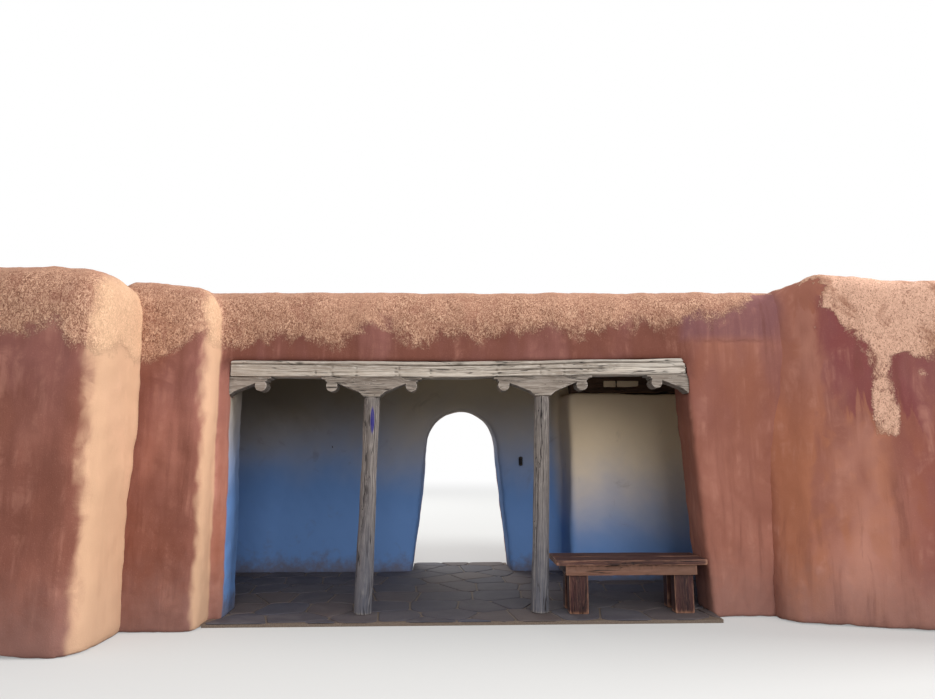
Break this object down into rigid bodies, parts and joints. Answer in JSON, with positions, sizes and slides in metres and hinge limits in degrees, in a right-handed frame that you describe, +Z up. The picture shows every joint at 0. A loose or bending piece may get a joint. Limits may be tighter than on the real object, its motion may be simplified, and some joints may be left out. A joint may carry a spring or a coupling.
{
  "type": "adobe house",
  "caption": "Single-storey adobe house: two battered, round-cornered earth wings joined by a deep timber porch with posts, carved bolsters and an arched passage to the rear.",
  "frame": {"origin": "ground level on the line of the porch posts, midway between the porch jambs", "axes": "+Z up, front faces -Y, +X to the right along the long side"},
  "size_m": [13.91, 5.74, 3.2976],
  "materials": {
    "adobe": "straw-flecked earth plaster, pinkish brown",
    "whitewash": "thin lime wash on earth plaster",
    "weathered_wood": "bare, silver-grey, cracked",
    "dark_wood": "dark aged timber",
    "bench_wood": "red-brown stained, worn",
    "flagstone": "irregular sandstone flags",
    "roof_earth": "packed earth and gravel",
    "window_glass": "clear",
    "dark_iron": "matt black"
  },
  "bodies": {
    "root": {"portal_floor": "flagstone", "left_floor": "flagstone", "right_floor": "flagstone", "left_front_wall": "adobe", "left_end_wall": "adobe", "left_rear_wall": "adobe", "left_inner_wall": "adobe", "right_front_wall": "adobe", "right_end_wall": "adobe", "right_rear_wall": "adobe", "right_inner_wall": "adobe", "left_pier": "adobe", "right_pier": "adobe", "portal_parapet": "adobe", "arch_wall": "whitewash", "bay_block": "whitewash", "block_header": "dark_wood", "block_infill": "whitewash", "portal_beam": "weathered_wood", "wall_plate": "dark_wood", "left_corbel": "weathered_wood", "right_corbel": "weathered_wood", "left_bolster": "weathered_wood", "right_bolster": "weathered_wood", "left_post": "weathered_wood", "right_post": "weathered_wood", "portal_logs": "dark_wood", "left_logs": "dark_wood", "right_logs": "dark_wood", "portal_ceiling": "dark_wood", "left_ceiling": "dark_wood", "right_ceiling": "dark_wood", "portal_roof": "roof_earth", "left_roof": "roof_earth", "right_roof": "roof_earth", "door_leaves": "weathered_wood", "door_frames": "dark_wood", "window_frames": "dark_wood", "window_glass": "window_glass", "rear_lintels": "dark_wood", "roof_spouts": "weathered_wood", "bench_top": "bench_wood", "bench_apron": "bench_wood", "bench_legs": "bench_wood", "wall_lamp": "dark_iron"}
  },
  "joints": []
}
